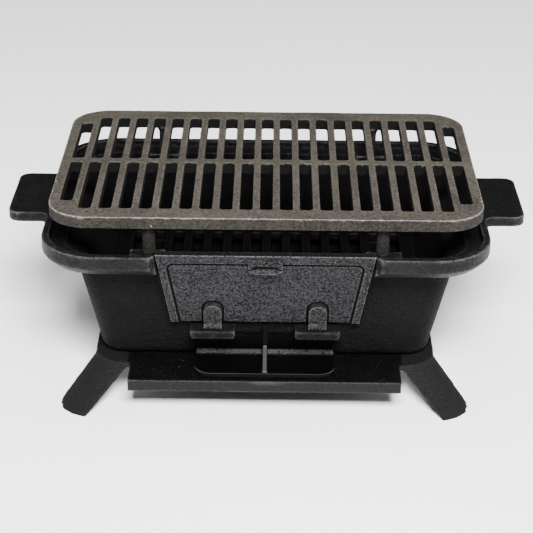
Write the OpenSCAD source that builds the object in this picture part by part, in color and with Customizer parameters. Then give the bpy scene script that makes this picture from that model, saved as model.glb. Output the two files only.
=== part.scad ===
// Cast-iron hibachi charcoal grill. The origin is on the ground under the middle of the grill.
// +X runs along the grill to its right handle, -Y faces the user, +Z is up.

/* [Base] */
// Height of the base plate's top above the ground
leg_h = 35.5; // [32:0.5:40]
// Length of the base plate
plate_l = 319; // [314:1:330]
// Depth of the base plate without its shelf
plate_w = 226; // [220:1:236]
// Corner radius of the base plate
plate_r = 30; // [26:1:34]
// Thickness of the base plate
plate_t = 6; // [5:0.5:8]
// Length of the shelf in front of the bowl
shelf_l = 251; // [240:1:254]
// Distance from the grill's middle to the shelf's front edge
shelf_reach = 146; // [140:1:150]
// Height of the turned-down edge around the shelf
skirt_h = 12; // [9:0.5:14]
// Thickness of each leg's curved shell
leg_t = 5; // [4:0.5:7]
// How far each foot stands out past the plate along X
leg_out_x = 27; // [22:0.5:30]
// How far each foot stands out past the plate along Y
leg_out_y = 35; // [30:0.5:38]
// Radius of each foot's curved print on the ground
foot_r = 36; // [32:1:40]
// Rounding of each foot's outer corner
foot_round = 9; // [4:0.5:12]

/* [Bowl] */
// Length of the rim
rim_l = 409; // [405:1:415]
// Depth of the rim
rim_w = 287; // [284:1:292]
// Corner radius of the rim
rim_r = 54; // [48:1:60]
// Height of the rim's top above the ground
rim_z = 158; // [156:0.5:160]
// Height of the band around the rim
band_h = 13; // [12:0.5:15]
// Thickness of the rim's lip
lip_t = 7.5; // [6:0.5:9]
// Thickness of the ledge between the wall and the lip
ledge_t = 6; // [5:0.5:7]
// Length of the wall just under the ledge
wall_l = 348; // [345:1:352]
// Depth of the wall just under the ledge
wall_w = 235; // [233:1:237]
// Corner radius of the wall
wall_r = 18; // [15:1:22]
// Thickness of the wall and the floor
wall_t = 6; // [5:0.5:7]
// Lean of the four walls away from upright, in degrees
wall_lean = 11.4; // [11:0.1:12]
// Length of each handle tab
handle_l = 37.5; // [32:0.5:42]
// Width of each handle tab
handle_w = 95; // [84:1:100]
// Thickness of each handle tab
handle_t = 10; // [8:0.5:12]

/* [Cooking grate] */
// Length of the cooking grate
grate_l = 391; // [386:1:393]
// Depth of the cooking grate
grate_w = 265; // [260:1:270]
// Thickness of the cooking grate
grate_t = 11.5; // [9:0.5:13]
// Corner radius of the cooking grate
grate_r = 37; // [30:1:42]
// Number of slots in each of its two rows
slot_count = 21; // [17:2:21]
// Distance from one slot to the next
slot_pitch = 18; // [17:0.1:18]
// Width of each slot
slot_w = 10.8; // [9:0.2:11.6]
// Diameter of the four posts
post_d = 12.5; // [11:0.5:14]
// Height of the four posts
post_h = 28; // [22:1:34]

/* [Charcoal grate] */
// Length of the charcoal grate
coal_l = 298; // [290:1:300]
// Depth of the charcoal grate
coal_w = 184; // [178:1:186]
// Thickness of the charcoal grate
coal_t = 9; // [7:0.5:10]
// Height of the charcoal grate's top above the ground
coal_z = 79; // [77:0.5:80]
// Number of slots in each of its two rows
coal_slots = 14; // [12:2:14]
// Distance from one of its slots to the next
coal_pitch = 19.8; // [18:0.2:20]
// Width of each of its slots
coal_slot_w = 11; // [9:0.5:12]

/* [Fire door] */
// Half the fire door's width at its top edge
door_top = 98; // [94:0.5:99]
// Half the fire door's width at its bottom edge
door_bottom = 86.5; // [84:0.5:88]
// Length of the fire door from its hinge axis to its top edge
door_len = 88.7; // [86:0.1:89]
// Thickness of the fire door
door_t = 6; // [5:0.5:6.5]
// Lean of the shut fire door away from upright, in degrees
door_lean = 20; // [19.5:0.1:20.5]
// Distance from the grill's middle to each hinge
hinge_x = 48; // [44:1:52]
// Width of each hinge lug on the door
lug_w = 17; // [14:1:20]
// Radius of the round bead at the foot of each lug
bead_r = 4; // [3.5:0.1:4.2]

/* [Draft door] */
// Width of the draft door's tongue
draft_w = 130; // [124:1:134]
// Distance from the grill's middle to the tongue's front edge
draft_reach = 140; // [134:1:143]
// Thickness of the draft door's casting
draft_t = 4.5; // [4:0.5:5]
// Height of the draft door's upright above the base plate
draft_h = 27; // [24:0.5:28]

/* [Fasteners] */
// Diameter of the bolts that hold the bowl to the base
bolt_d = 6; // [5:1:6]
// Distance from the grill's middle to each bolt
bolt_x = 70; // [50:1:90]

/* [Hidden] */

$fn = 64;
hull_fn = 32;
gap = 0.3;

// Bowl: heights and the taper of its walls
taper = tan(wall_lean);
ledge_z = rim_z - band_h;
ledge_top = ledge_z + ledge_t;
floor_top = leg_h + wall_t;
floor_fillet = 7;

// Rim: it flares out from the walls at this height, to a ledge this wide
flare_z = 133;
ledge_w = 15;
under_bevel = 7;
notch_bevel = 4.5;

// Pads on the ledge under the cooking grate's posts
pad_h = 1.5;
pad_l = 32;
pad_w = 14;
pad_x = 106;
pad_foot = 139;

// Colours
bowl_iron = [0.13, 0.13, 0.14];
base_iron = [0.16, 0.16, 0.17];
door_iron = [0.27, 0.27, 0.28];
raw_iron = [0.42, 0.39, 0.36];
steel = [0.62, 0.62, 0.64];

// Cooking grate
grate_z = ledge_top + pad_h + gap + post_h;
post_x = 104.5;
post_y = 119;
slot_r = 2.5;
slot_inner = 5.2;
slot_outer = 111.4;
end_slot_outer = 95;

// Charcoal grate and the ribs that it rests on
coal_slot_inner = 5;
coal_slot_outer = 84;
rib_z = coal_z - coal_t - gap;
rib_w = 14;
rib_reach = 12;

// Fire door, its hinge brackets and the opening that it shuts
hinge_y = -113.5;
hinge_z = 75.5;
plate_back = 8.5;
plate_front = plate_back - door_t;
lug_proud = 1;
lug_h = 27;
border_w = 8;
recess_d = 1.6;
bracket_l = 42;
bracket_r = 4;
bracket_front = -123;
bracket_top = hinge_z - lug_proud - gap;
bracket_h = 8.5;
trough_r = bead_r + 0.2;
door_gap = 1.5;
sill_z = 84;
opening_bottom = 76;
opening_top = 90;

// Draft door and the opening that it shuts
draft_opening_l = 104;
draft_opening_top = 59;
bend_r = 4;
web_t = 4;
web_top = 73;
web_knee = 51;

// Fasteners
bolt_y = 0;
head_af = 10;
head_h = 4;
washer_d = 14;
washer_t = 1.6;
nut_h = 6;
bolt_end = 15;

// Half the wall's length or depth at a height, from its size just under the ledge
function wall_half(size, z) = size / 2 - taper * (ledge_z - z);

// Points along an arc at one height
function arc(centre, r, from, to, z, steps) =
    [for (i = [0:steps]) let (a = from + (to - from) * i / steps)
        [centre.x + r * cos(a), centre.y + r * sin(a), z]];

// Flat shape: rectangle with round corners, in the middle of the plane
module rounded_rect(l, w, r) {
    square([l - 2 * r, w], center = true);
    square([l, w - 2 * r], center = true);
    for (x = [-1, 1], y = [-1, 1])
        translate([x * (l / 2 - r), y * (w / 2 - r)]) circle(r);
}

// Round-cornered slab from one height to another
module slab(l, w, r, z0, z1) {
    translate([0, 0, z0]) linear_extrude(z1 - z0) rounded_rect(l, w, r);
}

// Extrudes a flat YZ outline along X, about the middle
module along_x(length) {
    rotate([90, 0, 90]) linear_extrude(length, center = true) children();
}

// Extrudes a flat XZ outline along Y, from y0 back to y1
module along_y(y0, y1) {
    translate([0, y1, 0]) rotate([90, 0, 0]) linear_extrude(y1 - y0) children();
}

// Places the fire door's own upright frame at its hinge, leaning as it does when shut
module at_hinge() {
    translate([0, hinge_y, hinge_z]) rotate([door_lean, 0, 0]) children();
}

// Keeps what lies between two heights
module between(z0, z1) {
    intersection() {
        children();
        translate([-rim_l, -rim_w, z0]) cube([2 * rim_l, 2 * rim_w, z1 - z0]);
    }
}

// Thin slice of a round-cornered body, up from a height
module slice(z, l, w, r) {
    translate([0, 0, z]) linear_extrude(0.01) rounded_rect(l, w, r, $fn = hull_fn);
}

// Thin slice of the tapered wall at a height, brought in by an inset
module wall_slice(z, inset, r) {
    slice(z, 2 * (wall_half(wall_l, z) - inset), 2 * (wall_half(wall_w, z) - inset), r);
}

// Tapered round-cornered body of the bowl
module wall_solid(z0, z1, inset, r) {
    hull() {
        wall_slice(z1, inset, r);
        wall_slice(z0 + floor_fillet, inset, r);
        wall_slice(z0 + floor_fillet * 0.3, inset + floor_fillet * 0.25, r - 1);
        wall_slice(z0, inset + floor_fillet * 0.8, r - 4);
    }
}

// Fire door's outline in its own frame, grown by a margin
module door_outline(grow) {
    slope = (door_top - door_bottom) / door_len;
    low = 1 - grow;
    high = door_len + grow;
    polygon([
        [-door_bottom - slope * low - grow, low],
        [door_bottom + slope * low + grow, low],
        [door_bottom + slope * high + grow, high],
        [-door_bottom - slope * high - grow, high]
    ]);
}

// Cheeks that carry the shut fire door at both sides of the opening
module door_cheeks() {
    intersection() {
        along_x(2 * door_top) polygon([
            [-wall_half(wall_w, sill_z - 5) + 2, sill_z - 5],
            [-wall_half(wall_w, ledge_top) + 2, ledge_top],
            [-rim_w / 2 + lip_t, ledge_top],
            [-rim_w / 2 + lip_t, ledge_z],
            [hinge_y, sill_z - 5]
        ]);
        at_hinge() along_y(plate_back + gap, plate_back + 60) door_outline(-1.5);
    }
}

// Way in for charcoal above the sill, and the seat that the shut fire door fills
module door_cut() {
    at_hinge() along_y(-30, plate_back + gap) door_outline(door_gap);
    along_y(-150, -80) polygon([
        [-opening_bottom, sill_z],
        [opening_bottom, sill_z],
        [opening_top, rim_z + 1],
        [-opening_top, rim_z + 1]
    ]);
}

// Holes for the two bolts, through everything up to a height
module bolt_holes(top) {
    for (x = [-1, 1])
        translate([x * bolt_x, bolt_y, 0]) cylinder(h = top, d = bolt_d + 0.8);
}

// Pocket on the wall that one lug of the fire door sits in
module hinge_bracket() {
    bottom = bracket_top - bracket_h;
    difference() {
        along_y(bracket_front, -wall_half(wall_w, bottom) + 1) {
            translate([-bracket_l / 2, bottom + bracket_r])
                square([bracket_l, bracket_h - bracket_r]);
            translate([-bracket_l / 2 + bracket_r, bottom])
                square([bracket_l - 2 * bracket_r, bracket_h]);
            for (x = [-1, 1])
                translate([x * (bracket_l / 2 - bracket_r), bottom + bracket_r]) circle(bracket_r);
        }
        translate([-lug_w / 2 - 1, hinge_y, hinge_z])
            rotate([0, 90, 0]) cylinder(h = lug_w + 2, r = trough_r);
    }
}

// Flat handle tab with a filleted root, at the right end
module handle() {
    tip = rim_l / 2 + handle_l;
    root = rim_l / 2 - lip_t / 2;
    r = 11;
    root_r = 8;
    translate([0, 0, rim_z - handle_t]) linear_extrude(handle_t) {
        translate([root, -handle_w / 2]) square([tip - r - root, handle_w]);
        translate([root, -handle_w / 2 + r]) square([tip - root, handle_w - 2 * r]);
        for (y = [-1, 1]) {
            translate([tip - r, y * (handle_w / 2 - r)]) circle(r);
            difference() {
                translate([rim_l / 2 - 1, y * (handle_w + root_r) / 2])
                    square([root_r + 1, root_r], center = false);
                translate([rim_l / 2 + root_r, y * (handle_w / 2 + root_r)]) circle(root_r);
            }
        }
    }
}

// Upright rib beside a long wall, which the charcoal grate rests on
module coal_rib(x) {
    inner = wall_half(wall_w, rib_z) - wall_t - rib_reach;
    outer = wall_half(wall_w, rib_z);
    translate([x - rib_w / 2, inner, floor_top]) cube([rib_w, outer - inner, rib_z - floor_top]);
}

// Solid of the rim and its flare, before the inside is taken out
module rim_solid() {
    low_l = rim_l - 2 * under_bevel;
    low_w = rim_w - 2 * under_bevel;
    low_z = ledge_z - under_bevel;
    hull() {
        wall_slice(flare_z, 0, wall_r);
        slice(low_z, low_l, low_w, rim_r - under_bevel);
    }
    hull() {
        slice(low_z, low_l, low_w, rim_r - under_bevel);
        slice(ledge_z, rim_l, rim_w, rim_r);
    }
    slab(rim_l, rim_w, rim_r, ledge_z, rim_z);
}

// Inside of the rim: the flare up to the ledge, and the space within the lip
module rim_inside() {
    edge = lip_t + ledge_w;
    hull() {
        wall_slice(flare_z - 0.01, wall_t, wall_r - wall_t);
        slice(ledge_top, rim_l - 2 * edge, rim_w - 2 * edge, rim_r - edge);
    }
    slab(rim_l - 2 * lip_t, rim_w - 2 * lip_t, rim_r - lip_t, ledge_top, rim_z + 1);
}

module base() {
    shelf_w = shelf_reach - plate_w / 2 + plate_r;
    color(base_iron) difference() {
        union() {
            slab(plate_l, plate_w, plate_r, leg_h - plate_t, leg_h);
            translate([-shelf_l / 2, -shelf_reach, leg_h - skirt_h]) difference() {
                cube([shelf_l, shelf_w, skirt_h]);
                translate([plate_t, plate_t, -plate_t])
                    cube([shelf_l - 2 * plate_t, shelf_w, skirt_h]);
            }
            for (x = [0, 1], y = [0, 1]) mirror([x, 0, 0]) mirror([0, y, 0]) leg();
        }
        bolt_holes(leg_h + 1);
    }
}

// Foot points with the last corner rounded off, each slid up along its line to the top
function rounded_foot(top, foot) =
    [for (i = [0:len(foot) - 1])
        let (away = min(foot_round, norm(foot[i] - foot[len(foot) - 1])),
             up = foot_round - sqrt(foot_round ^ 2 - (foot_round - away) ^ 2))
        foot[i] + (top[i] - foot[i]) * up / norm(top[i] - foot[i])];

// Curved shell leg at the right front corner, from the plate's corner down and out to its foot
module leg() {
    steps = 20;
    n = steps + 1;
    top_centre = [plate_l / 2 - plate_r, -(plate_w / 2 - plate_r)];
    foot_centre = top_centre + [leg_out_x, -leg_out_y];
    top_z = leg_h - 0.8;
    top_r = plate_r - 0.2;
    outer_top = arc(top_centre, top_r, -100, -10, top_z, steps);
    inner_top = arc(top_centre, top_r - leg_t, -100, -10, top_z, steps);
    outer_foot = arc(foot_centre, foot_r, -78, -10, 0, steps);
    inner_foot = arc(foot_centre, foot_r - leg_t, -78, -10, 0, steps);
    points = concat(
        outer_top, rounded_foot(outer_top, outer_foot),
        inner_top, rounded_foot(inner_top, inner_foot)
    );
    sides = [for (i = [0:steps - 1]) each [
        [i, i + 1, n + i + 1], [i, n + i + 1, n + i],
        [2 * n + i + 1, 2 * n + i, 3 * n + i], [2 * n + i + 1, 3 * n + i, 3 * n + i + 1],
        [i + 1, i, 2 * n + i], [i + 1, 2 * n + i, 2 * n + i + 1],
        [n + i, n + i + 1, 3 * n + i + 1], [n + i, 3 * n + i + 1, 3 * n + i]
    ]];
    ends = [
        [0, n, 3 * n], [0, 3 * n, 2 * n],
        [steps, 2 * n + steps, 3 * n + steps], [steps, 3 * n + steps, n + steps]
    ];
    polyhedron(points, concat(sides, ends), convexity = 4);
}

// Walls of the bowl with the fire door's cheeks; the floor, the rim, the brackets and the ribs
// are cast in one with them
module bowl() {
    color(bowl_iron) difference() {
        between(floor_top, flare_z) {
            wall_solid(leg_h, ledge_z, 0, wall_r);
            door_cheeks();
        }
        wall_solid(floor_top, ledge_z, wall_t, wall_r - wall_t);
        door_cut();
        translate([-draft_opening_l / 2, -wall_w / 2, leg_h])
            cube([draft_opening_l, wall_w / 2 - bolt_d, draft_opening_top - leg_h]);
    }
}

module bowl_floor() {
    color(bowl_iron) difference() {
        between(leg_h, floor_top) wall_solid(leg_h, ledge_z, 0, wall_r);
        bolt_holes(leg_h + 20);
    }
}

module bowl_rim() {
    color(bowl_iron) {
        difference() {
            union() {
                rim_solid();
                between(flare_z, ledge_top) door_cheeks();
                for (x = [0, 1]) mirror([x, 0, 0]) handle();
            }
            rim_inside();
            door_cut();
            for (x = [-1, 1])
                translate([x * (door_top + door_gap - 1), -rim_w / 2, flare_z]) rotate([0, 0, 45])
                    linear_extrude(rim_z) square(notch_bevel * sqrt(2), center = true);
        }
        for (x = [-1, 1], y = [-1, 1])
            translate([x * pad_x - pad_l / 2, y * post_y - pad_w / 2, pad_foot])
                cube([pad_l, pad_w, ledge_top + pad_h - pad_foot]);
    }
}

module hinge_brackets() {
    color(bowl_iron) difference() {
        for (x = [-1, 1]) translate([x * hinge_x, 0, 0]) hinge_bracket();
        wall_solid(leg_h, ledge_z, 0, wall_r);
    }
}

module coal_ribs() {
    color(bowl_iron) intersection() {
        for (x = [-1, 1], y = [0, 1]) mirror([0, y, 0]) coal_rib(x * 110);
        wall_solid(floor_top, ledge_z, wall_t, wall_r - wall_t);
    }
}

module cooking_grate() {
    color(raw_iron) difference() {
        slab(grate_l, grate_w, grate_r, grate_z, grate_z + grate_t);
        for (i = [-(slot_count - 1) / 2 : (slot_count - 1) / 2], y = [-1, 1]) {
            last = abs(i) == (slot_count - 1) / 2;
            outer = last ? end_slot_outer : slot_outer;
            translate([i * slot_pitch, y * (slot_inner + outer) / 2, grate_z - 1])
                linear_extrude(grate_t + 2) rounded_rect(slot_w, outer - slot_inner, slot_r);
        }
    }
}

// The four posts cast onto the cooking grate's underside, flared where they meet it
module grate_posts() {
    flare = 3;
    flare_h = 5;
    color(raw_iron) for (x = [-1, 1], y = [-1, 1]) translate([x * post_x, y * post_y, 0]) {
        translate([0, 0, grate_z - post_h]) cylinder(h = post_h - flare_h, d = post_d);
        translate([0, 0, grate_z - flare_h])
            cylinder(h = flare_h, d1 = post_d, d2 = post_d + 2 * flare);
    }
}

module charcoal_grate() {
    color(raw_iron) difference() {
        slab(coal_l, coal_w, wall_r - wall_t, coal_z - coal_t, coal_z);
        for (i = [0 : coal_slots - 1], y = [-1, 1])
            translate([(i - (coal_slots - 1) / 2) * coal_pitch,
                    y * (coal_slot_inner + coal_slot_outer) / 2, coal_z - coal_t - 1])
                linear_extrude(coal_t + 2)
                    rounded_rect(coal_slot_w, coal_slot_outer - coal_slot_inner, slot_r);
    }
}

module fire_door() {
    color(door_iron) at_hinge() {
        difference() {
            along_y(plate_front, plate_back) door_outline(0);
            along_y(plate_front - 1, plate_front + recess_d) recess_outline();
        }
        for (x = [-1, 1]) translate([x * hinge_x, 0, 0]) {
            along_y(-lug_proud, plate_front + 2) {
                translate([-lug_w / 2, 0]) square([lug_w, lug_h - lug_w / 2]);
                translate([0, lug_h - lug_w / 2]) circle(lug_w / 2);
            }
            translate([-lug_w / 2, 0, 0]) rotate([0, 90, 0]) cylinder(h = lug_w, r = bead_r);
        }
        translate([0, 0, door_len - 6]) finger_pull();
    }
}

// Shallow panel on the fire door's face, open at the bottom edge
module recess_outline() {
    slope = (door_top - door_bottom) / door_len;
    top = door_len - 10.5;
    r = 6;
    bottom = door_bottom - border_w;
    upper = bottom + slope * (top - r);
    polygon([[-bottom, -1], [bottom, -1], [upper, top - r], [-upper, top - r]]);
    translate([-upper + r, top - r - 1]) square([2 * (upper - r), r + 1]);
    for (x = [-1, 1]) translate([x * (upper - r), top - r]) circle(r);
}

// Dished pad with which the fingers pull the fire door open
module finger_pull() {
    l = 31;
    h = 12.5;
    r = 6;
    proud = 5;
    dish_r = 6;
    dish_depth = 2.8;
    dish_l = 15;
    difference() {
        along_y(plate_front - proud, plate_front + 1) {
            translate([-l / 2, -h + r]) square([l, h - r]);
            translate([-l / 2 + r, -h]) square([l - 2 * r, h]);
            for (x = [-1, 1]) translate([x * (l / 2 - r), -h + r]) circle(r);
        }
        translate([0, plate_front - proud - dish_r + dish_depth, -h / 2]) {
            rotate([0, 90, 0]) cylinder(h = dish_l, r = dish_r, center = true);
            for (x = [-1, 1]) translate([x * dish_l / 2, 0, 0]) sphere(dish_r);
        }
    }
}

module draft_door() {
    low = leg_h + gap;
    top = leg_h + draft_h;
    tongue_r = 16;
    top_l = draft_w - 6;
    face_low = -wall_half(wall_w, low) - gap;
    face_top = -wall_half(wall_w, top) - gap;
    color(base_iron) {
        intersection() {
            along_x(draft_w) difference() {
                polygon([
                    [face_low, low],
                    [face_top, top],
                    [face_top - draft_t, top],
                    [face_low - draft_t, low + draft_t + bend_r],
                    [face_low - draft_t - bend_r, low + draft_t],
                    [face_low - draft_t - bend_r, low]
                ]);
                translate([face_low - draft_t - bend_r - 1.2, low + draft_t + bend_r]) circle(bend_r);
            }
            along_y(-shelf_reach, 0) polygon([
                [-draft_w / 2, low],
                [draft_w / 2, low],
                [top_l / 2, top],
                [-top_l / 2, top]
            ]);
        }
        translate([0, 0, low]) linear_extrude(draft_t) {
            back = face_low - draft_t;
            translate([-draft_w / 2, -draft_reach + tongue_r])
                square([draft_w, back + draft_reach - tongue_r]);
            translate([-draft_w / 2 + tongue_r, -draft_reach])
                square([draft_w - 2 * tongue_r, tongue_r + 1]);
            for (x = [-1, 1])
                translate([x * (draft_w / 2 - tongue_r), -draft_reach + tongue_r]) circle(tongue_r);
        }
        along_x(web_t) polygon([
            [face_low - 2, low + 1],
            [-wall_half(wall_w, web_top) - 1, web_top],
            [-wall_half(wall_w, web_top) - 6, web_top],
            [-wall_half(wall_w, web_knee) - gap - draft_t - 3.5, web_knee],
            [-draft_reach + 3, low + draft_t + 1],
            [-draft_reach + 1, low + 1]
        ]);
    }
}

// Hexagon-headed bolt from the bowl's floor down through the base plate
module bolt(x) {
    head_z = floor_top;
    color(steel) translate([x, bolt_y, 0]) {
        translate([0, 0, head_z]) cylinder(h = head_h, d = head_af / cos(30), $fn = 6);
        translate([0, 0, bolt_end]) cylinder(h = head_z - bolt_end + 1, d = bolt_d);
    }
}

module washer(x) {
    color(steel) translate([x, bolt_y, leg_h - plate_t - washer_t]) difference() {
        cylinder(h = washer_t, d = washer_d);
        translate([0, 0, -1]) cylinder(h = washer_t + 2, d = bolt_d + 0.4);
    }
}

module wing_nut(x) {
    z = leg_h - plate_t - washer_t - nut_h;
    wing_reach = 13;
    wing_drop = 4;
    wing_t = 2.4;
    color(steel) translate([x, bolt_y, z]) difference() {
        union() {
            cylinder(h = nut_h, d1 = bolt_d + 4, d2 = bolt_d + 6);
            for (a = [0, 180]) rotate([0, 0, a]) translate([0, wing_t / 2, 0])
                rotate([90, 0, 0]) linear_extrude(wing_t) polygon([
                    [bolt_d / 2 + 1, nut_h - 1],
                    [bolt_d / 2 + 1, 0.5],
                    [wing_reach - 4, -wing_drop],
                    [wing_reach, -wing_drop + 1.5],
                    [wing_reach - 2, nut_h - 2.5]
                ]);
        }
        translate([0, 0, -wing_drop - 1]) cylinder(h = nut_h + wing_drop + 2, d = bolt_d + 0.1);
    }
}

base();
bowl();
bowl_floor();
bowl_rim();
hinge_brackets();
coal_ribs();
cooking_grate();
grate_posts();
charcoal_grate();
fire_door();
draft_door();
bolt(-bolt_x);  // bolt_left
bolt(bolt_x);  // bolt_right
washer(-bolt_x);  // washer_left
washer(bolt_x);  // washer_right
wing_nut(-bolt_x);  // wing_nut_left
wing_nut(bolt_x);  // wing_nut_right
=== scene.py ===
"""Looks of the cast-iron hibachi grill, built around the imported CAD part."""

import math
from collections import namedtuple

import bmesh
import bpy
from mathutils import Matrix, Vector


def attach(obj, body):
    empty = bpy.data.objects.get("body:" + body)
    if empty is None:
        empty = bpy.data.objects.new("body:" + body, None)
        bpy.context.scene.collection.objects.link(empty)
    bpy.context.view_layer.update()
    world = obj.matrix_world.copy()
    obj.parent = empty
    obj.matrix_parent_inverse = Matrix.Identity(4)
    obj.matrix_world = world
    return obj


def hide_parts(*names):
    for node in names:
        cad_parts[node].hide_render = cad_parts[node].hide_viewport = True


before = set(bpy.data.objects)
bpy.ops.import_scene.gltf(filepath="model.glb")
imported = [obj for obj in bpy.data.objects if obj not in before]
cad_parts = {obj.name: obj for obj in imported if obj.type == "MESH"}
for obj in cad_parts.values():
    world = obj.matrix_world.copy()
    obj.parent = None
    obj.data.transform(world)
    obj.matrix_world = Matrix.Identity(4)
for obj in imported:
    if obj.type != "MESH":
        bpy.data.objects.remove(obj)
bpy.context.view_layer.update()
MM = 0.001


# ---------------------------------------------------------------- mesh tools

SMOOTHING = 0.5  # how far one smoothing pass moves a vertex towards its neighbours' middle
CUT_LEVEL = 0.9  # the noise level that moves nothing: whatever is lower cuts inwards
WAVE_SIZE = 24 * MM

def joined_nodes(name, nodes):
    """New object holding a welded copy of some CAD nodes' meshes."""
    bm = bmesh.new()
    for node in nodes:
        bm.from_mesh(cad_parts[node].data)
    bmesh.ops.remove_doubles(bm, verts=bm.verts, dist=1e-6)
    return object_from(name, bm)


def object_from(name, bm):
    """New object in the scene, made from a bmesh."""
    mesh = bpy.data.meshes.new(name)
    bm.to_mesh(mesh)
    bm.free()
    obj = bpy.data.objects.new(name, mesh)
    bpy.context.scene.collection.objects.link(obj)
    return obj


def bake_modifiers(obj):
    """Applies all of an object's modifiers to its mesh."""
    depsgraph = bpy.context.evaluated_depsgraph_get()
    mesh = bpy.data.meshes.new_from_object(obj.evaluated_get(depsgraph))
    obj.modifiers.clear()
    old, obj.data = obj.data, mesh
    bpy.data.meshes.remove(old)


def add_modifier(obj, kind, **settings):
    """Adds a modifier of that kind with those settings."""
    modifier = obj.modifiers.new(kind.lower(), kind)
    for key, value in settings.items():
        setattr(modifier, key, value)


def displace(obj, name, size, detail, strength):
    """Adds a displacement by lumps of that size, which cuts inwards much more than it raises."""
    texture = bpy.data.textures.new(obj.name + name, "CLOUDS")
    texture.noise_scale = size
    texture.noise_depth = detail
    texture.noise_basis = "BLENDER_ORIGINAL"
    add_modifier(obj, "DISPLACE", texture=texture, texture_coords="LOCAL",
                 strength=strength, mid_level=CUT_LEVEL)


def cast_surface(obj, voxel, passes, faces, waviness, grain, grain_size):
    """Turns a sharp CAD shape into a sand casting: a voxel remesh whose edges are smoothed round,
    with slow waves and a fine grain over its faces, kept inside the piece's CAD box."""
    box = Vector(obj.bound_box[0]), Vector(obj.bound_box[6])
    add_modifier(obj, "REMESH", mode="VOXEL", voxel_size=voxel, use_smooth_shade=True)
    add_modifier(obj, "SMOOTH", factor=SMOOTHING, iterations=passes)
    displace(obj, "_waves", WAVE_SIZE, 1, waviness)
    displace(obj, "_grain", grain_size, 2, grain)
    bake_modifiers(obj)
    keep_in_box(obj, box)
    triangles = sum(len(p.vertices) - 2 for p in obj.data.polygons)
    if triangles > faces:
        add_modifier(obj, "DECIMATE", ratio=faces / triangles)
        bake_modifiers(obj)
    obj.data.shade_smooth()


def keep_in_box(obj, box):
    """Pulls any vertex that smoothing pushed out of the piece's own CAD box back onto it."""
    for v in obj.data.vertices:
        v.co = [min(high, max(low, at)) for at, low, high in zip(v.co, *box)]


def mark(obj, attribute, amount):
    """Writes a vertex attribute for the materials, from a function of place and normal."""
    layer = obj.data.attributes.new(attribute, "FLOAT", "POINT")
    layer.data.foreach_set("value", [amount(v.co, v.normal) for v in obj.data.vertices])


def distance_to_path(point, path):
    """Shortest distance from a 2-D point to a path of straight lines."""
    best = math.inf
    for start, end in zip(path, path[1:]):
        along = end - start
        t = max(0.0, min(1.0, (point - start).dot(along) / along.length_squared))
        best = min(best, (point - start - along * t).length)
    return best


def press_grooves(door, to_flat, back, paths):
    """Presses grooves into the fire door's face, along paths drawn in the face's own plane,
    darkened with painted shadow, and blackens its back with soot and its rim with painted shade."""
    soot_and_shade_layer = door.data.attributes.new("soot_and_shade", "FLOAT", "POINT").data
    for v in door.data.vertices:
        place = to_flat @ v.co
        # behind the face: soot on the back, painted shade on the rim
        if place.y > (DOOR_EDGE if place.z > DOOR_TOP else DOOR_SKIN):
            soot_and_shade_layer[v.index].value = BACK_SOOT if place.y > DOOR_BACK else RIM_SHADE
            continue
        if place.y < -DOOR_PROUD:
            continue
        gap = min(distance_to_path(Vector((place.x, place.z)), path) for path in paths)
        if gap < GROOVE_REACH:
            share = math.exp(-((gap / GROOVE_WIDTH) ** 2))
            v.co += back * GROOVE_DEPTH * share
            # painted shadow darkens the pressed groove
            soot_and_shade_layer[v.index].value = min(1.0, GROOVE_SHADE * share)


# ------------------------------------------------------------ material tools


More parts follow.
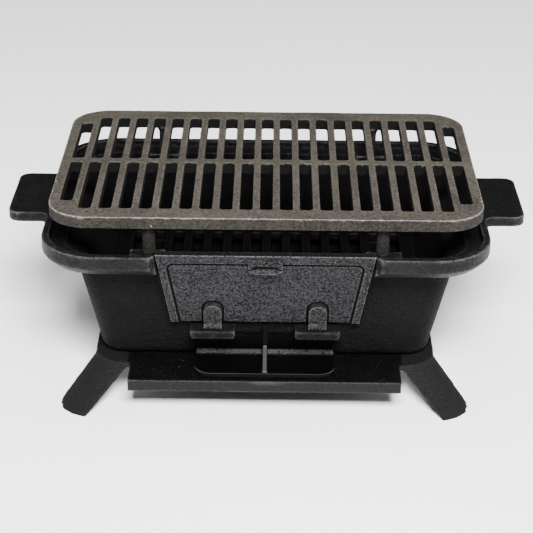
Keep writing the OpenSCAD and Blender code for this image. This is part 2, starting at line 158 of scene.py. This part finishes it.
class Shader:
    """Small helper that adds and links nodes in one material."""

    def __init__(self, name):
        self.material = bpy.data.materials.new(name)
        self.material.use_nodes = True
        self.tree = self.material.node_tree
        self.surface = self.tree.nodes["Principled BSDF"]
        self.place = self.add("ShaderNodeTexCoord").outputs["Object"]

    def add(self, kind, **settings):
        """New node of that kind with those settings."""
        node = self.tree.nodes.new(kind)
        for key, value in settings.items():
            setattr(node, key, value)
        return node

    def link(self, source, target):
        """Links an output socket to an input socket."""
        self.tree.links.new(source, target)

    def noise(self, size, detail=3.0, roughness=0.55, stretch=None):
        """Noise whose features are about that size in metres."""
        node = self.add("ShaderNodeTexNoise")
        node.inputs["Scale"].default_value = 1 / size
        node.inputs["Detail"].default_value = detail
        node.inputs["Roughness"].default_value = roughness
        place = self.place
        if stretch:
            mapping = self.add("ShaderNodeMapping")
            mapping.inputs["Scale"].default_value = stretch
            self.link(place, mapping.inputs["Vector"])
            place = mapping.outputs["Vector"]
        self.link(place, node.inputs["Vector"])
        return node.outputs["Fac"]

    def cells(self, size):
        """Distance to the nearest cell's middle, with cells of about that size in metres."""
        node = self.add("ShaderNodeTexVoronoi", feature="F1")
        node.inputs["Scale"].default_value = 1 / size
        self.link(self.place, node.inputs["Vector"])
        return node.outputs["Distance"]

    def ramp(self, source, stops):
        """Smooth ramp through (position, colour or grey) stops."""
        node = self.add("ShaderNodeValToRGB")
        elements = node.color_ramp.elements
        while len(elements) < len(stops):
            elements.new(0.5)
        for element, (position, colour) in zip(elements, stops):
            element.position = position
            element.color = (*colour, 1) if isinstance(colour, tuple) else (colour,) * 3 + (1,)
        node.color_ramp.interpolation = "EASE"
        self.link(source, node.inputs["Fac"])
        return node.outputs["Color"]

    def feed(self, node, **values):
        """Gives each named input a number, a colour or a link."""
        for key, value in values.items():
            socket = node.inputs[key]
            if isinstance(value, float):
                socket.default_value = value
            elif isinstance(value, tuple):
                socket.default_value = (*value, 1)
            else:
                self.link(value, socket)

    def math(self, operation, a, b):
        """Result of a math operation on two numbers or sockets."""
        node = self.add("ShaderNodeMath", operation=operation)
        for value, socket in zip((a, b), node.inputs):
            if isinstance(value, float):
                socket.default_value = value
            else:
                self.link(value, socket)
        return node.outputs[0]

    def mix(self, factor, a, b):
        """Colour a, turning to b as the factor rises to 1."""
        node = self.add("ShaderNodeMix", data_type="RGBA", blend_type="MIX")
        self.feed(node, Factor=factor, A=a, B=b)
        return node.outputs["Result"]

    def bump(self, height, distance, under=None):
        """Normal bent by a height that is worth that distance in metres."""
        node = self.add("ShaderNodeBump")
        node.inputs["Distance"].default_value = distance
        node.inputs["Strength"].default_value = 1.0
        self.link(height, node.inputs["Height"])
        if under is not None:
            self.link(under, node.inputs["Normal"])
        return node.outputs["Normal"]

    def marked(self, attribute):
        """The share that mark() wrote on the mesh."""
        return self.add("ShaderNodeAttribute", attribute_name=attribute).outputs["Fac"]

    def edge_wear_and_highlight(self, low, high):
        """Mask that rises on outward edges, from the mesh's own pointiness, for wear and painted
        highlight.
        """
        pointiness = self.add("ShaderNodeNewGeometry").outputs["Pointiness"]
        return self.ramp(pointiness, [(low, 0.0), (high, 1.0)])


def iron(name, dark, light, worn_and_highlight, rough, grain, pits, specular,
         soot_and_shade=(0.0003, 0.0003, 0.0003), mottle=0.4, rub_and_highlight=(0.02, 0.02, 0.021)):
    """Cast iron: blotches from dark to light, paler edges that are partly wear and partly painted
    highlight, soot and painted shade where marked, rubbed spots and painted highlights where
    marked, sand grain and pits.
    rough is the lowest and highest roughness; grain and pits are (size, depth) in mm;
    mottle is how much of the colour follows slow blotches, not the grain."""
    s = Shader(name)
    grain_size, grain_depth = (value * MM for value in grain)
    pit_size, pit_depth = (value * MM for value in pits)
    blotches = s.noise(BLOTCH_SIZE, detail=5, roughness=0.65)
    fine = s.noise(grain_size * 1.3, detail=4, roughness=0.7)
    mixed = s.math("ADD", s.math("MULTIPLY", blotches, mottle),
                   s.math("MULTIPLY", fine, 1 - mottle))
    colour = s.ramp(mixed, [(0.38, dark), (0.62, light)])
    worn_and_highlit_edges = s.math("MULTIPLY", s.edge_wear_and_highlight(0.505, 0.56), s.ramp(fine, [(0.35, 0.3), (0.6, 1.0)]))
    colour = s.mix(worn_and_highlit_edges, colour, worn_and_highlight)
    # rubbed metal and painted highlights where marked
    colour = s.mix(s.marked("rub_and_highlight"), colour, rub_and_highlight)
    # soot and painted shade where marked: the colour goes to the soot colour and the roughness to 1
    soot_and_shade_share = s.marked("soot_and_shade")
    s.link(s.mix(soot_and_shade_share, colour, soot_and_shade), s.surface.inputs["Base Color"])
    roughness = s.ramp(mixed, [(0.3, rough[1]), (0.7, rough[0])])
    s.link(s.mix(soot_and_shade_share, roughness, (1.0, 1.0, 1.0)), s.surface.inputs["Roughness"])
    s.surface.inputs["Specular IOR Level"].default_value = specular
    sand = s.noise(grain_size, detail=4, roughness=0.6)
    pocks = s.ramp(s.cells(pit_size), [(0.0, 0.0), (0.4, 1.0)])
    normal = s.bump(sand, grain_depth)
    normal = s.bump(pocks, pit_depth, under=normal)
    s.link(normal, s.surface.inputs["Normal"])
    return s.material


def zinc(name):
    """Zinc-plated steel with faint spangle and fine turning marks."""
    s = Shader(name)
    spangle = s.cells(1.2 * MM)
    blotches = s.noise(3 * MM, detail=4)
    colour = s.ramp(blotches, [(0.3, (0.36, 0.36, 0.37)), (0.7, (0.58, 0.58, 0.6))])
    s.link(colour, s.surface.inputs["Base Color"])
    s.link(s.ramp(spangle, [(0.0, 0.28), (0.7, 0.45)]), s.surface.inputs["Roughness"])
    s.surface.inputs["Metallic"].default_value = 1.0
    marks = s.noise(0.25 * MM, detail=2, stretch=(1, 1, 8))
    s.link(s.bump(marks, 0.01 * MM), s.surface.inputs["Normal"])
    return s.material


# ------------------------------------------------------------- the materials

BLOTCH_SIZE = 35 * MM
IRONS = {
    "base_iron": dict(
        dark=(0.0001, 0.0001, 0.00015), light=(0.0005, 0.0005, 0.0006), worn_and_highlight=(0.02, 0.02, 0.021),
        rough=(0.34, 0.54), grain=(2.4, 1.5), pits=(4, 0.6), specular=0.18),
    "bowl_iron": dict(
        dark=(0.001, 0.001, 0.0011), light=(0.004, 0.004, 0.0042), worn_and_highlight=(0.058, 0.058, 0.06),
        rough=(0.32, 0.5), grain=(2.4, 2.2), pits=(5, 0.8), specular=0.105),
    # raw iron: its soot colour also paints the shade in the slots, and its rub colour paints the
    # highlight along its top edge
    "raw_iron": dict(
        dark=(0.021, 0.0184, 0.015), light=(0.063, 0.0557, 0.0449), worn_and_highlight=(0.1, 0.09, 0.075),
        rough=(0.34, 0.6), grain=(2.2, 3.2), pits=(2.2, 1.2), specular=0.17,
        soot_and_shade=(0.0008, 0.0008, 0.0008), mottle=0.35, rub_and_highlight=(0.24, 0.216, 0.178)),
    "grate_iron": dict(
        dark=(0.0004, 0.0004, 0.0004), light=(0.0018, 0.0018, 0.0017), worn_and_highlight=(0.008, 0.0077, 0.0074),
        rough=(0.42, 0.6), grain=(1.8, 1.2), pits=(3, 0.5), specular=0.1),
    "door_iron": dict(
        dark=(0.0014, 0.0014, 0.0016), light=(0.033, 0.0334, 0.0356), worn_and_highlight=(0.1, 0.1, 0.105),
        rough=(0.34, 0.54), grain=(1.5, 2.4), pits=(2.2, 1.2), specular=0.085, mottle=0.08),
    # draft door iron: its rub colour paints the highlight on the web's crest and the tongue's front
    # edge
    "draft_iron": dict(
        dark=(0.0002, 0.0002, 0.00025), light=(0.0008, 0.0008, 0.0009), worn_and_highlight=(0.006, 0.006, 0.0065),
        rough=(0.34, 0.48), grain=(2.0, 0.7), pits=(4, 0.3), specular=0.11,
        rub_and_highlight=(0.03, 0.03, 0.031)),
}
MATERIALS = {name: iron(name, **look) for name, look in IRONS.items()}
MATERIALS["zinc_steel"] = zinc("zinc_steel")


def finish_piece(obj, body, nodes, slot):
    """Gives a piece the material named by its slot, hangs it on its body and hides the CAD nodes it
    stands for.
    """
    obj.data.materials.clear()
    obj.data.materials.append(MATERIALS[slot])
    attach(obj, body)
    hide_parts(*nodes)


# -------------------------------------------------------------- the castings

Casting = namedtuple(
    "Casting", "nodes body slot voxel passes faces waviness grain grain_size")  # lengths in mm
BOWL = ["bowl", "bowl_floor", "bowl_rim", "hinge_brackets", "coal_ribs"]
GRATE = ["cooking_grate", "grate_posts"]
CASTINGS = {
    "base_casting": Casting(
        ["base"], "firebox", "base_iron", 1.1, 3, 190000, 0.7, 0.15, 2.6),
    "bowl_casting": Casting(
        BOWL, "firebox", "bowl_iron", 1.15, 3, 195000, 0.4, 0.24, 2.8),
    "cooking_grate_casting": Casting(
        GRATE, "cooking_grate", "raw_iron", 1.0, 2, 197000, 0.3, 0.5, 2.4),
    "charcoal_grate_casting": Casting(
        ["charcoal_grate"], "charcoal_grate", "grate_iron", 1.1, 3, 120000, 0.3, 0.22, 2.2),
    "fire_door_casting": Casting(
        ["fire_door"], "fire_door", "door_iron", 0.6, 3, 190000, 0.15, 0.32, 2.0),
    "draft_door_casting": Casting(
        ["draft_door"], "draft_door", "draft_iron", 0.6, 3, 110000, 0.2, 0.16, 2.2),
}

# shares that mark() writes: 1 is full soot and painted shade, or full rubbed metal and painted
# highlight
POST_SHADE = 0.85
OUTER_SIDE_SHADE = 0.65
FIRE_SOOT_AND_SHADE = 0.9
WALL_SHADE = 0.6
LEG_SHADE = 0.5
BACK_SOOT = 0.5
RIM_SHADE = 0.9
EDGE_HIGHLIGHT = 0.9
WEB_HIGHLIGHT = 0.9
GATE_RUB = 0.8

# cooking grate: where its corner arcs are centred, an arc's radius inside the rounded edge,
# its underside, and the lowest and highest normal.z of its rounded top edge
GRATE_CORNER = (158.5 * MM, 95.5 * MM)
GRATE_ROUND = 33 * MM
GRATE_UNDERSIDE = 179 * MM
TOP_EDGE = (0.25, 0.93)

# bowl: half its inside, its ledge, and the height where its walls turn out to the ledge
INSIDE_HALF = (140 * MM, 84 * MM)
LEDGE_TOP = 150 * MM
FLARE = 133 * MM

# fire door: y is depth behind its face and z is height above its hinge, in its leaning plane;
# the panel and the lugs' arches are in mm
DOOR_HINGE = Vector((0, -113.5, 75.5)) * MM
DOOR_LEAN = Matrix.Rotation(math.radians(20), 4, "X")
DOOR_FACE = 2.5 * MM
DOOR_PROUD = 6 * MM
DOOR_SKIN = 2.3 * MM
DOOR_BACK = 5.2 * MM
DOOR_EDGE = 0.9 * MM
DOOR_TOP = 88 * MM
PANEL = [(-78.5, 1), (-87.5, 71), (-86, 74.6), (-82, 75.9),
         (82, 75.9), (86, 74.6), (87.5, 71), (78.5, 1)]
LUG_X = 48
LUG_ARCH_Z = 18.5
LUG_ARCH_R = 9.4
LUG_FOOT = 1
ARCH_STEPS = 12
GROOVE_WIDTH = 0.9 * MM
GROOVE_DEPTH = 1.2 * MM
GROOVE_REACH = 2.5 * GROOVE_WIDTH
GROOVE_SHADE = 1.7

# base: the ground-off gate on its shelf, and where its legs start
GATE = (2 * MM, 33.5 * MM)
GATE_HALF = (20 * MM, 2.2 * MM)
LEG_START = 128 * MM

# draft door
TONGUE_TOP = 40.3 * MM
TONGUE_EDGE = -128 * MM
WEB_LOW = 41 * MM
WEB_KNEE = 51.5 * MM
WEB_HALF = 2.6 * MM


def outside_slots(place):
    """Whether a place on the cooking grate lies at its outer edge, past every slot."""
    past = (max(0.0, abs(place.x) - GRATE_CORNER[0]), max(0.0, abs(place.y) - GRATE_CORNER[1]))
    return math.hypot(*past) > GRATE_ROUND


def slot_shade(place, normal):
    """Painted shade on the walls of the cooking grate's slots, darker the steeper they are, less on
    its outer sides and its posts.
    """
    if place.z < GRATE_UNDERSIDE:
        return POST_SHADE
    steep = max(0.0, min(1.0, 1.1 - 1.4 * normal.z))
    return OUTER_SIDE_SHADE * steep if outside_slots(place) else steep


def grate_edge_highlight(place, normal):
    """Painted highlight along the cooking grate's outer rounded top edge."""
    rounded = TOP_EDGE[0] < normal.z < TOP_EDGE[1]
    return EDGE_HIGHLIGHT if rounded and outside_slots(place) else 0.0


def fire_soot_and_shade(place, normal):
    """Soot and painted shade inside the bowl, where the charcoal burns, and painted shade on its
    outer walls below the flare.
    """
    outward = normal.x * place.x / INSIDE_HALF[0] + normal.y * place.y / INSIDE_HALF[1]
    if outward < -0.1 and place.z < LEDGE_TOP:
        return FIRE_SOOT_AND_SHADE
    return WALL_SHADE if place.z < FLARE else 0.0


def draft_shade(place, normal):
    """Painted shade on the thin front face of the draft door's tongue and on the upper half of its
    web.
    """
    tongue = normal.y < -0.75 and place.z < TONGUE_TOP
    return 1.0 if tongue or (abs(place.x) < WEB_HALF and place.z > WEB_KNEE) else 0.0


def draft_highlight(place, normal):
    """Painted highlight on the crest of the draft door's web and on its tongue's front edge."""
    if abs(place.x) < WEB_HALF and WEB_LOW < place.z < WEB_KNEE and normal.z > 0.3:
        return WEB_HIGHLIGHT
    edge = place.z > TONGUE_TOP - 1 * MM and place.y < TONGUE_EDGE and -0.95 < normal.y < -0.2
    return 1.0 if edge else 0.0


def leg_shade(place, normal):
    """A little painted shade on the base's four legs."""
    return LEG_SHADE if abs(place.x) > LEG_START else 0.0


def gate_rub(place, normal):
    """Ground-off casting gate: a bright streak on the front of the base's shelf."""
    along, up = (place.x - GATE[0]) / GATE_HALF[0], (place.z - GATE[1]) / GATE_HALF[1]
    return max(0.0, GATE_RUB * (1 - along * along - up * up)) if normal.y < -0.6 else 0.0


def lug_outline(x):
    """Path around one lug of the fire door, in the door's plane."""
    arch = [(x - LUG_ARCH_R * math.cos(a), LUG_ARCH_Z + LUG_ARCH_R * math.sin(a))
            for a in (math.pi * i / ARCH_STEPS for i in range(ARCH_STEPS + 1))]
    return [(x - LUG_ARCH_R, LUG_FOOT), *arch, (x + LUG_ARCH_R, LUG_FOOT)]


pieces = {}
for piece, look in CASTINGS.items():
    casting = pieces[piece] = joined_nodes(piece, look.nodes)
    cast_surface(casting, look.voxel * MM, look.passes, look.faces,
                 look.waviness * MM, look.grain * MM, look.grain_size * MM)
    finish_piece(casting, look.body, look.nodes, look.slot)

# vertex shares of soot and painted shade, and of rubbed metal and painted highlight
for piece, attribute, amount in (
    ("cooking_grate_casting", "soot_and_shade", slot_shade),
    ("cooking_grate_casting", "rub_and_highlight", grate_edge_highlight),
    ("bowl_casting", "soot_and_shade", fire_soot_and_shade),
    ("base_casting", "soot_and_shade", leg_shade),
    ("base_casting", "rub_and_highlight", gate_rub),
    ("draft_door_casting", "soot_and_shade", draft_shade),
    ("draft_door_casting", "rub_and_highlight", draft_highlight),
):
    mark(pieces[piece], attribute, amount)

OUTLINES = (PANEL, lug_outline(-LUG_X), lug_outline(LUG_X))
press_grooves(
    pieces["fire_door_casting"],
    Matrix.Translation((0, -DOOR_FACE, 0)) @ DOOR_LEAN.inverted() @ Matrix.Translation(-DOOR_HINGE),
    DOOR_LEAN.to_3x3() @ Vector((0, 1, 0)),
    [[Vector(p) * MM for p in path] for path in OUTLINES])

# --------------------------------------------------------------- the fasteners

BOLT_X = 70 * MM
BOLT_R = 3 * MM
BOLT_END = 15 * MM
HEAD_FOOT = 41.5 * MM
HEAD_H = 4 * MM
HEAD_R = 5.77 * MM
HEAD_PROFILE = [(0, 0.93), (0.08, 1), (0.82, 1), (1, 0.88)]  # shares of the height and the radius
THREAD_PITCH = 1 * MM
THREAD_DEPTH = 0.35 * MM
THREAD_SIDES = 28
THREAD_STEPS = 8


def skin(bm, rings):
    """Closed skin through rings of points from bottom to top, capped at both ends."""
    loops = [[bm.verts.new(point) for point in ring] for ring in rings]
    for low, high in zip(loops, loops[1:]):
        for k, corner in enumerate(low):
            after = (k + 1) % len(low)
            bm.faces.new((corner, low[after], high[after], high[k]))
    bm.faces.new(reversed(loops[0]))
    bm.faces.new(loops[-1])


def ring(x, z, radius, sides):
    """Points round the bolt's axis; radius is a function of the share of a turn."""
    turns = [k / sides for k in range(sides)]
    return [(x + radius(t) * math.cos(math.tau * t), radius(t) * math.sin(math.tau * t), z)
            for t in turns]


def threaded_bolt(name, x):
    """Hexagon-headed bolt with a helical thread, chamfered at its end."""
    bm = bmesh.new()
    length = HEAD_FOOT - BOLT_END
    count = round(length / THREAD_PITCH * THREAD_STEPS)
    shank = []
    for i in range(count + 1):
        up = length * i / count
        chamfer = max(0.0, 1 - up / THREAD_PITCH) * 2 * THREAD_DEPTH
        shank.append(ring(x, BOLT_END + up, lambda turn: BOLT_R - chamfer - THREAD_DEPTH
                          * abs(2 * ((up / THREAD_PITCH - turn) % 1) - 1), THREAD_SIDES))
    skin(bm, shank)
    skin(bm, [ring(x, HEAD_FOOT + share * HEAD_H, lambda turn: size * HEAD_R, 6)
              for share, size in HEAD_PROFILE])
    return object_from(name, bm)


for side, sign in (("left", -1), ("right", 1)):
    bolt = threaded_bolt(f"bolt_{side}_zinc", sign * BOLT_X)
    finish_piece(bolt, "firebox", [f"bolt_{side}"], "zinc_steel")
    washer = joined_nodes(f"washer_{side}_zinc", [f"washer_{side}"])
    add_modifier(washer, "BEVEL", width=0.3 * MM, segments=2,
                 limit_method="ANGLE", angle_limit=math.radians(30))
    bake_modifiers(washer)
    finish_piece(washer, "firebox", [f"washer_{side}"], "zinc_steel")
    nut = joined_nodes(f"wing_nut_{side}_zinc", [f"wing_nut_{side}"])
    cast_surface(nut, 0.25 * MM, 3, 24000, 0.12 * MM, 0.05 * MM, 0.9 * MM)
    finish_piece(nut, "firebox", [f"wing_nut_{side}"], "zinc_steel")

# ------------------------------------------------------------ camera and stage

LENS = 112.1  # mm, on a sensor 36 mm wide
CAMERA_PLACE = (0.0050, -1.4583, 0.7951)
CAMERA_RIGHT = Vector((0.999935, 0.007405, 0.008729))
CAMERA_UP = Vector((-0.011097, 0.43975, 0.89806))
CENTRE = (0, 0, 0.1)
FLOOR_HALF = 30  # m

camera = bpy.data.objects.new("camera", bpy.data.cameras.new("camera"))
bpy.context.scene.collection.objects.link(camera)
bpy.context.scene.camera = camera
camera.data.sensor_width = 36
camera.data.lens = LENS
camera.data.clip_end = 2 * FLOOR_HALF
columns = CAMERA_RIGHT, CAMERA_UP, CAMERA_RIGHT.cross(CAMERA_UP), CAMERA_PLACE
camera.matrix_world = Matrix([*zip(*columns), (0, 0, 0, 1)])


def floor():
    """Flat pale paper that reaches far past what the camera sees."""
    bm = bmesh.new()
    corners = (-1, -1), (1, -1), (1, 1), (-1, 1)
    bm.faces.new([bm.verts.new((x * FLOOR_HALF, y * FLOOR_HALF, 0)) for x, y in corners])
    obj = object_from("floor", bm)
    s = Shader("floor_paper")
    tone = s.noise(0.6, detail=2)
    s.link(s.ramp(tone, [(0.3, 0.88), (0.7, 0.9)]), s.surface.inputs["Base Color"])
    s.surface.inputs["Roughness"].default_value = 0.9
    s.surface.inputs["Specular IOR Level"].default_value = 0.1
    obj.data.materials.append(s.material)


def softbox(name, place, width, height, power):
    """White rectangular soft light at a place, aimed at the grill's middle."""
    data = bpy.data.lights.new(name, "AREA")
    data.shape = "RECTANGLE"
    data.size = width
    data.size_y = height
    data.energy = power
    light = bpy.data.objects.new(name, data)
    bpy.context.scene.collection.objects.link(light)
    light.location = place
    aim = Vector(CENTRE) - Vector(place)
    light.rotation_euler = aim.to_track_quat("-Z", "Y").to_euler()


floor()
softbox("key", (0.2, -1.8, 1.9), 1.1, 0.7, 330)
softbox("top", (0, 0.5, 2.6), 1.6, 1.2, 30)
softbox("left", (-1.9, 0.6, 0.8), 0.6, 1.2, 18)
softbox("right", (1.9, 0.6, 0.8), 0.6, 1.2, 18)

world = bpy.data.worlds.new("studio")
bpy.context.scene.world = world
world.use_nodes = True
background = world.node_tree.nodes["Background"]
background.inputs["Color"].default_value = (1, 1, 1, 1)
background.inputs["Strength"].default_value = 0.04
